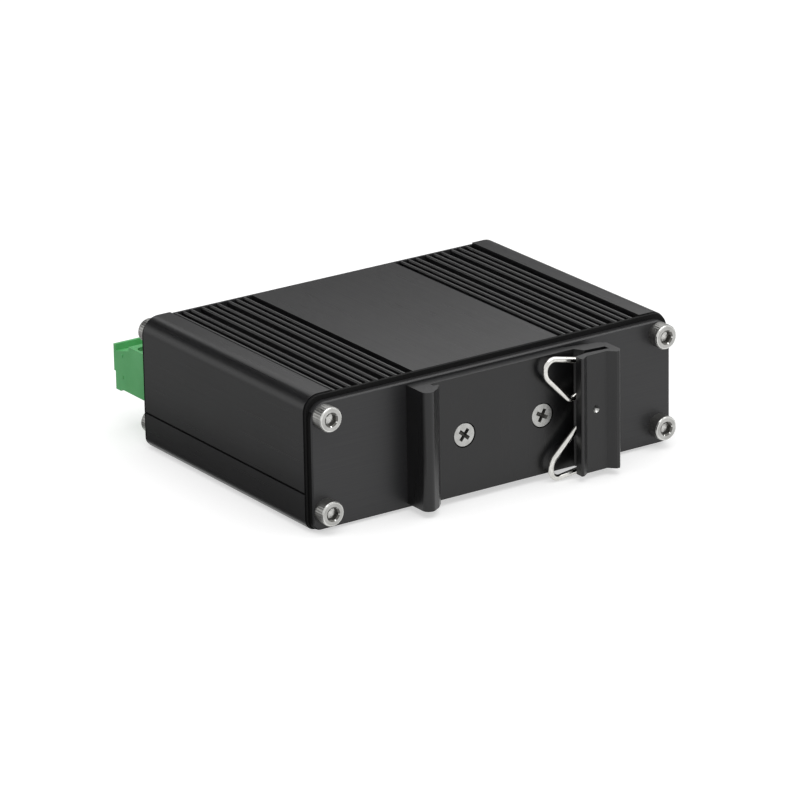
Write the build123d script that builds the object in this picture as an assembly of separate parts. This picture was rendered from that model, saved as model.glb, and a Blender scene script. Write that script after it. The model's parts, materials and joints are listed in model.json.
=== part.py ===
"""Industrial fibre media converter in a two-part extruded aluminium housing, with a clip for a 35 mm rail.

Millimetres, +Z up. The converter lies flat: X runs across its width, +Y points out of the front panel,
and the rail clip is on the rear panel, at the -Y end. Lengths along Y are first counted from the outer
face of the rear panel, and every solid is then moved so that the whole object is centred on Y = 0.
"""
import math
import os

from build123d import *

# Housing
housing_width = 94.0
housing_depth = 65.9
housing_height = 30.0
top_corner_radius = 3.8
bottom_corner_radius = 2.5
least_corner_radius = 0.4
side_wall = 1.8
floor_wall = 1.8
fin_floor_wall = 1.6
seam_height = 8.3
seam_bevel = 0.25
tongue_height = 1.0
tongue_clearance = 0.06

# Fins on the top: three sets of three on each side of a plain centre plate
fin_height = 1.25
fin_width = 0.85
fin_drop = 0.5
fin_pitch = 2.01
fin_sets = 3
fins_in_set = 3
fin_first_gap = 2.0
fin_set_gap = 0.62
centre_plate_share = 0.4
outer_band_width = 7.0

# End panels and gaskets
panel_thickness = 1.6
gasket_thickness = 0.8
panel_inset = 0.5
panel_top_drop = 0.8
panel_corner_radius = 4.4
panel_edge_break = 0.3
front_rim_wall = 0.85
front_top_wall = 0.45
front_panel_gap = 0.08
front_edge_break = 0.2
front_flange = 0.8
front_flange_inset = 0.1
front_flange_drop = 0.45
gasket_inset = 0.25
gasket_band = 1.5

# Corner screws (M3 socket heads) and the screw ports that they enter
corner_screw_inset = 3.6
corner_screw_low = 4.65
corner_screw_drop = 4.4
port_radius = 2.55
port_bore_radius = 1.55
m3_radius = 1.5
m3_clearance_radius = 1.7
socket_head_radius = 2.75
socket_head_height = 3.0
socket_hex_flats = 2.5
socket_depth = 1.5
socket_head_bevel = 0.25
screw_tip_bevel = 0.4
corner_screw_length = 10.0

# Rail clip, an extrusion along Z
clip_short_of_housing = 3.4
clip_centre_x = 0.5
clip_below_middle = 0.25
clip_plate = 2.6
hook_left = -22.6
hook_front = 7.1
hook_flat = 2.0
hook_shoulder = 4.0
hook_shoulder_drop = 1.2
hook_nose = 5.6
hook_corner_radius = 1.5
hook_flat_radius = 1.4
hook_shoulder_radius = 1.0
rail_slot_bottom = -18.3
rail_slot_gap = 1.3
catch_lip_x = 16.3
catch_lip_outer = 9.1
catch_lip_inner = 6.9
catch_flat_outer = 7.9
catch_ridge_outer = 9.45
catch_right = 27.0
catch_relief = 2.1
channel_start_x = 20.2
channel_end_x = 25.2
channel_back_y = 4.75
channel_clearance = 0.1
channel_slope = 0.1
clip_edge_radius = 0.28
dimple_radius = 0.85
dimple_point = 0.2
dimple_depth = 0.75

# Countersunk clip screws and their nuts
clip_screw_spacing = 20.2
clip_screw_head_radius = 2.7
clip_screw_head_height = 1.65
clip_screw_rim = 0.25
clip_screw_sink = 0.12
clip_screw_length = 8.0
cross_recess_width = 0.62
cross_recess_span = 3.1
cross_recess_core = 0.6
cross_recess_depth = 1.1
cross_recess_turn = 28.0
countersink_clearance = 0.1
nut_flats = 5.5
nut_height = 2.4

# Wire spring in the catch
wire_diameter = 1.35
wire_tip_x = 10.3
wire_back_x = 22.2
wire_floor_gap = 0.2

# Circuit board
board_thickness = 1.6
board_bottom = 7.2
board_end_gap = 1.2
board_side_gap = 0.3
hold_down_thickness = 0.65
hold_down_clearance = 0.05
hold_down_web = 1.1
hold_down_gap = 0.3
pin_hole_radius = 0.65
peg_hole_clearance = 0.1

# Network socket
jack_width = 16.0
jack_height = 13.4
jack_depth = 19.0
jack_centre_x = 0.0
jack_proud = 0.7
jack_sheet = 0.3
jack_mouth_width = 11.8
jack_mouth_height = 6.8
jack_mouth_low = 2.7
jack_mouth_depth = 14.0
latch_slot_width = 6.2
latch_slot_height = 1.4
latch_key_width = 3.3
latch_key_height = 1.0
jack_contacts = 8
jack_contact_pitch = 1.016
jack_contact_width = 0.45
jack_contact_thickness = 0.35

jack_peg_radius = 1.55
jack_peg_spacing = 11.4
jack_peg_back = 9.0
jack_peg_below = 1.2
jack_fit_gap = 0.05
jack_comb_half = 0.32
jack_comb_back = 13.0
jack_comb_front = 2.0
jack_comb_below = 0.5
jack_comb_above = 1.3
jack_shield_margin = 0.25
contact_reach_down = 2.4
contact_nose = 2.2
contact_tip = 9.0
contact_under_comb_top = 0.15

# Optical module cage
cage_width = 14.4
cage_height = 9.8
cage_depth = 47.5
cage_centre_x = 27.0
cage_sheet = 0.3
cage_proud = 0.7
cage_connector_width = 11.2
cage_connector_height = 4.6
cage_connector_depth = 6.5
cage_board_gap = 0.1
cage_vents = 3
cage_vent_radius = 1.2
cage_vent_pitch_x = 4.0
cage_vent_pitch_y = 7.0
cage_vent_first = 22.0
cage_window_margin = 0.5
cage_window_extra = 3.5
connector_back_gap = 0.6
connector_end_wall = 1.2
connector_back_wall = 1.5
connector_slot_height = 1.2
panel_opening_gap = 0.3

# Pluggable terminal, 3.81 mm pitch
terminal_poles = 4
terminal_pitch = 3.81
terminal_end = 0.3
terminal_side_gap = 3.0
header_proud = 2.5
header_depth = 11.2
header_height = 8.9
header_wall = 0.8
header_back_wall = 1.6
pin_size = 0.8
pin_height = 3.9
pin_tip_gap = 1.6
pin_row_gap = 1.0
plug_slide_clearance = 0.2
plug_rest_gap = 0.3
plug_reach = 14.4
plug_step_depth = 0.6
plug_step_height = 3.7
plug_ridge_height = 9.9
plug_ridge_thickness = 0.75
plug_channel_height = 8.45
plug_slope_low = 8.55
plug_slope_high = 9.8
plug_slope_depth = 6.3
plug_top_height = 10.8
plug_foot_depth = 2.0
plug_foot_drop = 0.5
pip_radius = 0.32
pip_height = 0.15
pip_depth = 3.6
pip_heights = [3.0, 8.0]
clamp_depth = 9.6
clamp_cell_width = 3.3
clamp_cell_depth = 3.9
clamp_floor = 0.8
clamp_ceiling = 7.6
clamp_ceiling_wall = 0.8
clamp_well_radius = 1.6
clamp_head_radius = 1.4
clamp_head_height = 1.2
clamp_thread_radius = 1.0
clamp_thread_clearance = 0.05
clamp_cage_width = 3.0
clamp_cage_depth = 3.4
clamp_cage_bottom = 1.1
clamp_cage_base = 0.6
clamp_cage_window = 2.75
clamp_cage_top = 0.95
clamp_cage_side = 0.4
strip_width = 1.8
strip_thickness = 0.4
wire_way_width = 2.9
wire_way_height = 3.4
sleeve_outer = 1.7
sleeve_inner = 1.0

# Light pipes and lamps
light_count = 4
light_height = 13.5
light_radius = 1.2
light_clearance = 0.1
light_proud = 0.5
light_reach = 6.0
light_bend = 3.0
lamp_size = 1.6
lamp_height = 0.7
lamp_gap = 0.1

# Parts on the circuit board: middle in X and Y (Y alone for those on the power side), then size in X and Y,
# then height
switch_chip_box = (-2.0, 34.0, 14.0, 14.0, 1.4)
transformer_box = (1.0, 18.5, 12.7, 15.2, 5.2)
power_side_gap = 21.0
power_chip_box = (22.0, 5.0, 6.2, 1.5)
inductor_box = (33.0, 10.0, 10.0, 4.0)
inductor_corner = 1.6
crystal_box = (-20.0, 12.0, 11.0, 4.4, 3.5)
capacitor_radius = 4.0
capacitor_height = 11.5
capacitor_side_gap = 9.0
capacitor_rows = [44.0, 33.0]
capacitor_edge = 0.5
chip_edge = 0.15
can_edge = 0.3
fuse_radius = 1.9
fuse_length = 9.0
fuse_row = 46.0
fuse_side_gap = 20.0

# Values worked out from the ones above
half_width = housing_width / 2
fin_root = housing_height - fin_drop - fin_height
top_inner = fin_root - fin_floor_wall
centre_plate_half = half_width * centre_plate_share
outer_band_inner = half_width - outer_band_width
fin_first = centre_plate_half + fin_first_gap
fin_set_pitch = (outer_band_inner - centre_plate_half - fin_set_gap) / fin_sets
corner_screw_x = half_width - corner_screw_inset
corner_screw_high = housing_height - corner_screw_drop
front_rim_drop = housing_height - front_rim_wall - fin_root + front_top_wall
inner_half = half_width - side_wall
end_stack = panel_thickness + gasket_thickness
shell_start = end_stack
shell_end = housing_depth - front_flange
front_seat = housing_depth - end_stack
board_top = board_bottom + board_thickness
board_half = inner_half - board_side_gap
board_start = shell_start + board_end_gap
board_end = front_seat - board_end_gap
clip_length = housing_height - clip_short_of_housing
clip_centre_z = housing_height / 2 - clip_below_middle
clip_low = clip_centre_z - clip_length / 2
clip_high = clip_centre_z + clip_length / 2
wire_radius = wire_diameter / 2
channel_width = wire_diameter + 2 * channel_clearance
terminal_left = terminal_side_gap - half_width
terminal_width = terminal_poles * terminal_pitch + 2 * terminal_end
terminal_right = terminal_left + terminal_width
header_front = housing_depth + header_proud
header_back = header_front - header_depth
plug_front = header_front + plug_reach
plug_low_front = plug_front - plug_step_depth
clamp_y = plug_front - clamp_depth
jack_left = jack_centre_x - jack_width / 2
light_pitch = (jack_left - terminal_right) / (light_count + 1)
light_places = [terminal_right + light_pitch * (i + 1) for i in range(light_count)]
power_side_x = power_side_gap - half_width
capacitor_places = [(capacitor_side_gap - half_width, y) for y in capacitor_rows]
fuse_place = (fuse_side_gap - half_width, fuse_row)
pole_centres = [terminal_left + terminal_end + terminal_pitch * (i + 0.5) for i in range(terminal_poles)]
jack_front = housing_depth + jack_proud
cage_front = housing_depth + cage_proud
object_back = -catch_ridge_outer
object_middle = (object_back + plug_front) / 2


def along_y(face, start, end):
    """A section drawn in X and Z, extruded from one Y to another."""
    return extrude(Plane.XZ.offset(-start) * face, amount=end - start, dir=(0, 1, 0))


def along_x(face, start, end):
    """A section drawn in Y and Z, extruded from one X to another."""
    return extrude(Plane.YZ.offset(start) * face, amount=end - start, dir=(1, 0, 0))


def along_z(face, start, end):
    """A section drawn in X and Y, extruded from one Z to another."""
    return extrude(Pos(0, 0, start) * face, amount=end - start, dir=(0, 0, 1))


def strip(low_a, high_a, low_b, high_b):
    """A plain rectangle between two values on each sketch axis."""
    return Pos((low_a + high_a) / 2, (low_b + high_b) / 2) * Rectangle(high_a - low_a, high_b - low_b)


def block(low_x, high_x, low_y, high_y, low_z, high_z):
    return along_z(strip(low_x, high_x, low_y, high_y), low_z, high_z)


def outline(points):
    return make_face(Polyline(*points, close=True))


def mirrored(section):
    return section + mirror(section, Plane.YZ)


def housing_outline(inset=0.0, top_drop=0.0, top_radius=top_corner_radius):
    """The housing's cross section: small corners below, larger corners above."""
    low = inset
    high = housing_height - inset - top_drop
    half = half_width - inset
    base = strip(-half, half, low, high)
    corners = base.vertices()
    top_corners = corners.filter_by(lambda v: v.Y > housing_height / 2)
    base = fillet(top_corners, max(top_radius - inset, least_corner_radius))
    low_corners = base.vertices().filter_by(lambda v: v.Y < low + 0.01)
    return fillet(low_corners, max(bottom_corner_radius - inset, least_corner_radius))


def corner_places():
    return [(x, z) for x in (-corner_screw_x, corner_screw_x) for z in (corner_screw_low, corner_screw_high)]


def fin_places():
    set_starts = [fin_first + fin_set_pitch * s for s in range(fin_sets)]
    return [start + fin_pitch * i for start in set_starts for i in range(fins_in_set)]


def hollow_section():
    """The housing's wall all the way round, before it is split at the seam."""
    inner = strip(-inner_half, inner_half, floor_wall, top_inner)
    inner = fillet(inner.vertices(), 1.0)
    return housing_outline() - inner


def upper_shell():
    keep = strip(-housing_width, housing_width, seam_height, housing_height + 1)
    section = hollow_section() & keep
    fin_crest = housing_height - fin_drop
    lowered = strip(-centre_plate_half - 1, centre_plate_half + 1, fin_crest, housing_height + 1)
    section -= lowered
    recess = strip(centre_plate_half, outer_band_inner, fin_root, housing_height + 1)
    section -= mirrored(recess)
    for x in fin_places():
        stem = strip(x - fin_width / 2, x + fin_width / 2, fin_root - 0.2, fin_crest - fin_width / 2)
        crest = Pos(x, fin_crest - fin_width / 2) * Circle(fin_width / 2)
        section += mirrored(stem + crest)
    port = Pos(corner_screw_x, corner_screw_high) * Circle(port_radius)
    hold_low = board_top + hold_down_clearance
    hold_outer = inner_half - tongue_clearance - hold_down_gap
    web_low = seam_height + tongue_height + hold_down_gap
    web_high = web_low + hold_down_web
    hold = strip(hold_outer - hold_down_thickness, hold_outer, hold_low, web_high)
    web = strip(hold_outer - 0.1, inner_half + 0.5, web_low, web_high)
    section += mirrored(port + hold + web)
    rebate_outer = inner_half + side_wall / 2
    rebate = strip(inner_half - 0.2, rebate_outer, seam_height - 1, seam_height + tongue_height + 0.1)
    section -= mirrored(rebate)
    section -= mirrored(seam_notch(1))
    section -= mirrored(Pos(corner_screw_x, corner_screw_high) * Circle(port_bore_radius))
    return along_y(section, shell_start, shell_end) - front_recess()


def front_recess():
    """The rebate in the shells' front end that takes the front gasket and panel."""
    return along_y(housing_outline(front_rim_wall, front_rim_drop), front_seat, housing_depth)


def front_outline():
    """The outline of the front panel and gasket, which lie in the rebate."""
    return housing_outline(front_rim_wall + front_panel_gap, front_rim_drop)


def seam_notch(side):
    """The small bevel that each shell has along the seam, on its outer face."""
    edge = half_width + 0.01
    return outline([(edge, seam_height + side * seam_bevel), (edge, seam_height - side * 0.01),
                    (edge - seam_bevel, seam_height - side * 0.01)])


def lower_shell():
    keep = strip(-housing_width, housing_width, -1, seam_height)
    section = hollow_section() & keep
    tongue_outer = inner_half + side_wall / 2 - tongue_clearance
    section += mirrored(strip(inner_half, tongue_outer, seam_height - 1, seam_height + tongue_height))
    port = Pos(corner_screw_x, corner_screw_low) * Circle(port_radius)
    ledge = strip(corner_screw_x - port_radius, inner_half + 0.5, corner_screw_low, board_bottom)
    section += mirrored(port + ledge)
    section -= mirrored(seam_notch(-1))
    section -= mirrored(Pos(corner_screw_x, corner_screw_low) * Circle(port_bore_radius))
    return along_y(section, shell_start, shell_end) - front_recess()


def screw_holes(radius):
    holes = Sketch()
    for x, z in corner_places():
        holes += Pos(x, z) * Circle(radius)
    return holes


def rear_panel():
    section = housing_outline(panel_inset, panel_top_drop, panel_corner_radius)
    section -= screw_holes(m3_clearance_radius)
    for x in clip_screw_places():
        section -= Pos(x, clip_centre_z) * Circle(m3_clearance_radius)
    plate = along_y(section, 0, panel_thickness)
    rim = plate.faces().sort_by(Axis.Y)[0].outer_wire().edges()
    return chamfer(rim, panel_edge_break)


def front_panel():
    """A plate that sits in the shells' rebate, with a flange that covers the ends of their walls and fins."""
    gap = panel_opening_gap
    low = board_top - gap
    openings = screw_holes(m3_clearance_radius)
    openings += strip(jack_centre_x - jack_width / 2 - gap, jack_centre_x + jack_width / 2 + gap,
                      low, board_top + jack_height + gap)
    openings += strip(cage_centre_x - cage_width / 2 - gap, cage_centre_x + cage_width / 2 + gap,
                      low, board_top + cage_height + gap)
    openings += strip(terminal_left - gap, terminal_right + gap, low, board_top + header_height + gap)
    for x in light_places:
        openings += Pos(x, light_height) * Circle(light_radius + light_clearance)
    plate = along_y(front_outline() - openings, housing_depth - panel_thickness, shell_end)
    flange = housing_outline(front_flange_inset, front_flange_drop)
    panel = plate + along_y(flange - openings, shell_end, housing_depth)
    rim = panel.faces().sort_by(Axis.Y)[-1].outer_wire().edges()
    return chamfer(rim, front_edge_break)


def gasket(outer, inner, start):
    """A flat rubber frame between a panel and the end of the housing."""
    section = outer - inner
    for x, z in corner_places():
        section += (Pos(x, z) * Circle(port_radius)) & outer
    return along_y(section - screw_holes(m3_clearance_radius), start, start + gasket_thickness)


def rear_gasket():
    return gasket(housing_outline(gasket_inset), housing_outline(gasket_inset + gasket_band), panel_thickness)


def front_gasket():
    inset = front_rim_wall + front_panel_gap + gasket_band
    return gasket(front_outline(), housing_outline(inset, front_rim_drop), front_seat)


def socket_screw():
    """A socket head screw along +Y, with the underside of its head at Y = 0."""
    head = Cylinder(socket_head_radius, socket_head_height, align=(Align.CENTER, Align.CENTER, Align.MIN))
    head = chamfer(head.edges().sort_by(Axis.Z)[-1], socket_head_bevel)
    key = RegularPolygon(socket_hex_flats / 2, 6, major_radius=False)
    head -= Pos(0, 0, socket_head_height - socket_depth) * extrude(key, amount=socket_depth)
    shank = Cylinder(m3_radius, corner_screw_length, align=(Align.CENTER, Align.CENTER, Align.MAX))
    shank = chamfer(shank.edges().sort_by(Axis.Z)[0], screw_tip_bevel)
    return Rot(90, 0, 0) * (head + shank)


def rear_panel_screws():
    return Compound([Pos(x, 0, z) * socket_screw() for x, z in corner_places()])


def front_panel_screws():
    turned = Rot(0, 0, 180) * socket_screw()
    return Compound([Pos(x, housing_depth, z) * turned for x, z in corner_places()])


def clip_screw_places():
    return [clip_centre_x - clip_screw_spacing / 2, clip_centre_x + clip_screw_spacing / 2]


def countersunk_form(extra, above=0.0):
    """A countersunk head along Z with its top at Z = 0, grown by a clearance on the radius."""
    down = (Align.CENTER, Align.CENTER, Align.MAX)
    head = clip_screw_head_radius + extra
    rim = Pos(0, 0, above) * Cylinder(head, clip_screw_rim + above + extra, align=down)
    cone = Cone(m3_radius + extra, head, clip_screw_head_height - clip_screw_rim, align=down)
    return rim + Pos(0, 0, -clip_screw_rim - extra) * cone


def rounded_at(section, x, y, radius):
    """The section with its corner at that point rounded."""
    corner = section.vertices().sort_by(lambda v: math.hypot(v.X - x, v.Y - y))[0]
    return fillet(corner, radius)


def hook_section():
    """The hook and the plate in X and Y. The hook's nose curves back to the mouth of the rail slot."""
    slot_front = clip_plate + rail_slot_gap
    flat_end = hook_left + hook_flat
    shoulder = hook_left + hook_shoulder
    nose = hook_left + hook_nose
    shoulder_y = hook_shoulder_drop - hook_front
    hook = outline([(hook_left, 0), (hook_left, -hook_front), (flat_end, -hook_front), (shoulder, shoulder_y),
                    (nose, -slot_front - 0.25), (nose - 0.35, -slot_front), (rail_slot_bottom, -slot_front),
                    (rail_slot_bottom, -clip_plate), (catch_lip_x, -clip_plate), (catch_lip_x, 0)])
    hook = rounded_at(hook, hook_left, -hook_front, hook_corner_radius)
    hook = rounded_at(hook, flat_end, -hook_front, hook_flat_radius)
    return rounded_at(hook, shoulder, shoulder_y, hook_shoulder_radius)


def clip_section():
    """The clip's extruded section in X and Y: hook, plate and spring channel."""
    channel_rise = channel_slope * (channel_end_x - channel_start_x)
    ridge_x = catch_right - 1.7
    flat_end = ridge_x - 1.5
    front_wall = channel_back_y + channel_width
    catch = outline([(catch_lip_x - 0.5, 0), (catch_lip_x - 0.5, -clip_plate),
                     (channel_start_x - 1.3, -clip_plate),
                     (channel_start_x, -channel_back_y), (channel_end_x, -channel_back_y - channel_rise),
                     (channel_end_x, -front_wall - channel_rise), (channel_start_x - 0.6, -front_wall),
                     (catch_lip_x + 0.1, -catch_lip_inner), (catch_lip_x, -catch_lip_outer),
                     (catch_lip_x + 0.6, -catch_lip_outer), (catch_lip_x + 2.2, -catch_flat_outer - 0.1),
                     (flat_end, -catch_flat_outer), (ridge_x, -catch_ridge_outer),
                     (ridge_x + 0.8, -catch_ridge_outer), (catch_right, -catch_ridge_outer + 1.1),
                     (catch_right, -catch_relief - 1.4), (catch_right - 1.6, -catch_relief),
                     (catch_right - 3.2, -catch_relief + 0.25)])
    section = hook_section() + catch
    rounded = section.vertices().filter_by(
        lambda v: abs(v.Y + catch_lip_outer) < 0.01 or abs(v.Y + catch_ridge_outer) < 0.01)
    return fillet(rounded, clip_edge_radius)


def din_clip():
    body = along_z(clip_section(), clip_low, clip_high)
    for x in clip_screw_places():
        seat = Pos(0, 0, -clip_screw_sink) * countersunk_form(countersink_clearance, above=1)
        hole = Cylinder(m3_clearance_radius, clip_plate * 3)
        body -= Pos(x, -clip_plate, clip_centre_z) * Rot(90, 0, 0) * (seat + hole)
    dimple = Cone(dimple_point, dimple_radius, dimple_depth, align=(Align.CENTER, Align.CENTER, Align.MAX))
    place = (catch_lip_x + catch_right) / 2 - 0.7
    body -= Pos(place, -catch_flat_outer - 0.01, clip_centre_z + 0.8) * Rot(90, 0, 0) * dimple
    return body


def clip_screw():
    """A countersunk cross-recess screw along +Y, with the top of its head at Y = 0."""
    shank = Cylinder(m3_radius, clip_screw_length, align=(Align.CENTER, Align.CENTER, Align.MAX))
    body = countersunk_form(0) + chamfer(shank.edges().sort_by(Axis.Z)[0], screw_tip_bevel)
    for angle in (0, 90):
        slot = Box(cross_recess_span, cross_recess_width, 2 * cross_recess_depth)
        body -= Rot(0, 0, angle + cross_recess_turn) * slot
    down = (Align.CENTER, Align.CENTER, Align.MAX)
    body -= Cone(cross_recess_core / 3, cross_recess_core, 2 * cross_recess_depth, align=down)
    return Rot(90, 0, 0) * body


def clip_screws():
    seat = clip_screw_sink - clip_plate
    return Compound([Pos(x, seat, clip_centre_z) * clip_screw() for x in clip_screw_places()])


def clip_nuts():
    section = RegularPolygon(nut_flats / 2, 6, major_radius=False) - Circle(m3_radius + 0.03)
    start = panel_thickness
    nuts = [along_y(Pos(x, clip_centre_z) * section, start, start + nut_height) for x in clip_screw_places()]
    return Compound(nuts)


def wire_spring():
    """One bent wire: two loops stand out of the channel, and the bends between them lie inside it."""
    top = clip_high
    low = wire_radius + wire_floor_gap
    points = [(wire_back_x, top - 2.45), (wire_tip_x - 0.3, top + 0.05), (wire_tip_x - 0.25, top - 4.05),
              (wire_tip_x + 5.7, top - 10.25), (wire_back_x, top - 7.45), (wire_back_x, clip_centre_z + 0.95),
              (wire_tip_x + 0.9, low + 3.6), (wire_tip_x + 1.0, low - 0.5), (wire_back_x, low + 1.5)]
    radii = [2.2, 3.0, 1.3, 1.3, 1.8, 3.5, 1.9]
    path = Plane.XZ * FilletPolyline(*points, radius=radii)
    wire = sweep(Plane(origin=path @ 0, z_dir=path % 0) * Circle(wire_radius), path=path)
    lean = math.degrees(math.atan(channel_slope))
    middle = channel_back_y + channel_width / 2
    return Pos(channel_start_x, -middle, 0) * Rot(0, 0, -lean) * Pos(-channel_start_x, 0, 0) * wire


def light_pipes():
    """Four clear rods that bend down from the panel to the lamps on the board."""
    front = housing_depth + light_proud
    bend_y = front - light_reach
    foot = board_top + lamp_height + lamp_gap
    route = FilletPolyline((front, light_height), (bend_y, light_height), (bend_y, foot), radius=light_bend)
    line = Plane.YZ * route
    rod = sweep(Plane(origin=line @ 0, z_dir=line % 0) * Circle(light_radius), path=line)
    rail_low = light_height - light_radius
    rail = block(light_places[0], light_places[-1], bend_y + light_bend - 1.4, bend_y + light_bend - 0.4,
                 rail_low, rail_low + 1.2)
    rods = Pos(light_places[0], 0, 0) * rod
    for x in light_places[1:]:
        rods += Pos(x, 0, 0) * rod
    return rods + rail


def status_lamps():
    y = housing_depth + light_proud - light_reach
    half = lamp_size / 2
    return Compound([block(x - half, x + half, y - half, y + half, board_top, board_top + lamp_height)
                     for x in light_places])


def header_pin_row():
    return header_back - pin_row_gap


def circuit_board():
    board = block(-board_half, board_half, board_start, board_end, board_bottom, board_top)
    for x in pole_centres:
        board -= Pos(x, header_pin_row(), board_bottom) * Cylinder(pin_hole_radius, board_thickness * 3)
    for x, y in jack_pegs():
        hole = Cylinder(jack_peg_radius + peg_hole_clearance, board_thickness * 3)
        board -= Pos(x, y, board_bottom) * hole
    return board


def jack_pegs():
    y = jack_front - jack_depth + jack_peg_back
    return [(jack_centre_x + side * jack_peg_spacing / 2, y) for side in (-1, 1)]


def jack_mouth():
    """The stepped mouth of the network socket, in X and Z."""
    low = board_top + jack_mouth_low
    half = jack_mouth_width / 2
    mouth = strip(-half, half, low, low + jack_mouth_height)
    mouth += strip(-latch_slot_width / 2, latch_slot_width / 2, low - latch_slot_height, low)
    key_low = low - latch_slot_height - latch_key_height
    mouth += strip(-latch_key_width / 2, latch_key_width / 2, key_low, low)
    return Pos(jack_centre_x, 0) * mouth


def jack_shield():
    low = board_top
    high = board_top + jack_height
    half = jack_width / 2
    outer = Pos(jack_centre_x, 0) * strip(-half, half, low, high)
    sheet = jack_sheet
    inner = Pos(jack_centre_x, 0) * strip(-half + sheet, half - sheet, low - 1, high - sheet)
    back = jack_front - jack_depth
    tube = along_y(outer, back, jack_front) - along_y(inner, back + sheet, jack_front - sheet)
    opening = offset(jack_mouth(), jack_shield_margin, kind=Kind.INTERSECTION)
    tube -= along_y(opening, jack_front - 1, jack_front + 1)
    return tube


def jack_housing():
    inset = jack_sheet + jack_fit_gap
    half = jack_width / 2 - inset
    back = jack_front - jack_depth + inset
    front = jack_front - inset
    section = Pos(jack_centre_x, 0) * strip(-half, half, board_top, board_top + jack_height - inset)
    body = along_y(section, back, front)
    body -= along_y(jack_mouth(), front - jack_mouth_depth, front + 1)
    comb_top = board_top + jack_mouth_low + jack_mouth_height
    comb_low = comb_top - jack_comb_below
    comb_high = comb_top + jack_comb_above
    first = jack_centre_x - jack_contact_pitch * (jack_contacts - 1) / 2
    for i in range(jack_contacts):
        x = first + i * jack_contact_pitch
        body -= block(x - jack_comb_half, x + jack_comb_half, front - jack_comb_back, front - jack_comb_front,
                      comb_low, comb_high)
    for x, y in jack_pegs():
        length = board_thickness + jack_peg_below
        peg = Cylinder(jack_peg_radius, length, align=(Align.CENTER, Align.CENTER, Align.MAX))
        peg = chamfer(peg.edges().sort_by(Axis.Z)[0], 0.4)
        body += Pos(x, y, board_top) * peg
    return body


def jack_contact_wires():
    """Eight sprung contacts that hang from the comb and slope back into the mouth."""
    front = jack_front - jack_sheet
    ceiling = board_top + jack_mouth_low + jack_mouth_height
    t = jack_contact_thickness
    top = ceiling + jack_comb_above - contact_under_comb_top
    free_end = ceiling - contact_reach_down
    nose = front - contact_nose
    tip = front - contact_tip
    back = front - jack_comb_back + 0.1
    profile = outline([(back, top), (nose - 0.4, top), (nose, top - 0.4), (nose - 0.1, top - 0.95),
                       (tip, free_end), (tip - 0.2, free_end + t), (nose - 0.8, top - t - 0.35),
                       (nose - 0.7, top - t), (back, top - t)])
    first = jack_centre_x - jack_contact_pitch * (jack_contacts - 1) / 2
    half = jack_contact_width / 2
    wires = []
    for i in range(jack_contacts):
        x = first + i * jack_contact_pitch
        wires.append(along_x(profile, x - half, x + half))
    return Compound(wires)


def module_cage():
    low = board_top + cage_board_gap
    high = board_top + cage_height
    half = cage_width / 2
    sheet = cage_sheet
    back = cage_front - cage_depth
    outer = Pos(cage_centre_x, 0) * strip(-half, half, low, high)
    inner = Pos(cage_centre_x, 0) * strip(-half + sheet, half - sheet, low + sheet, high - sheet)
    cage = along_y(outer, back, cage_front) - along_y(inner, back + sheet, cage_front + 1)
    window = cage_connector_width / 2 + cage_window_margin
    window_end = back + cage_connector_depth + cage_window_extra
    cage -= block(cage_centre_x - window, cage_centre_x + window, back - 1, window_end,
                  low - 1, low + cage_connector_height / 2)
    for i in range(cage_vents):
        for j in range(cage_vents):
            x = cage_centre_x + (i - (cage_vents - 1) / 2) * cage_vent_pitch_x
            y = back + cage_vent_first + j * cage_vent_pitch_y
            cage -= Pos(x, y, high) * Cylinder(cage_vent_radius, 4)
    return cage


def module_connector():
    back = cage_front - cage_depth + cage_sheet + connector_back_gap
    low = board_top
    half = cage_connector_width / 2
    body = block(cage_centre_x - half, cage_centre_x + half, back, back + cage_connector_depth,
                 low, low + cage_connector_height)
    slot_half = half - connector_end_wall
    slot_low = low + (cage_connector_height - connector_slot_height) / 2
    body -= block(cage_centre_x - slot_half, cage_centre_x + slot_half, back + connector_back_wall,
                  back + cage_connector_depth + 1, slot_low, slot_low + connector_slot_height)
    return body


def terminal_header():
    """The green header on the board: a box with its mouth towards +Y and a wall at its back."""
    left = terminal_left
    right = terminal_right
    low = board_top
    high = board_top + header_height
    body = block(left, right, header_back, header_front, low, high)
    body -= block(left + header_wall, right - header_wall, header_back + header_back_wall, header_front + 1,
                  low + header_wall, high - header_wall)
    for x in pole_centres:
        body -= Pos(x, header_back, low + pin_height) * Box(pin_size + 0.04, 6, pin_size + 0.04)
    return body


def header_pins():
    z = board_top + pin_height
    tip = header_front - pin_tip_gap
    row = header_pin_row()
    half = pin_size / 2
    foot = board_bottom + 0.1
    shape = outline([(tip, z + half), (row - half, z + half), (row - half, foot), (row + half, foot),
                     (row + half, z - half), (tip, z - half)])
    pins = []
    for x in pole_centres:
        pin = along_x(shape, x - half, x + half)
        end = pin.faces().sort_by(Axis.Y)[-1]
        pins.append(chamfer(end.edges(), 0.2))
    return Compound(pins)


def plug_tongue_start():
    """Where the part of the plug inside the header ends, short of the header's back wall."""
    return header_back + header_back_wall + plug_slide_clearance + 0.4


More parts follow.
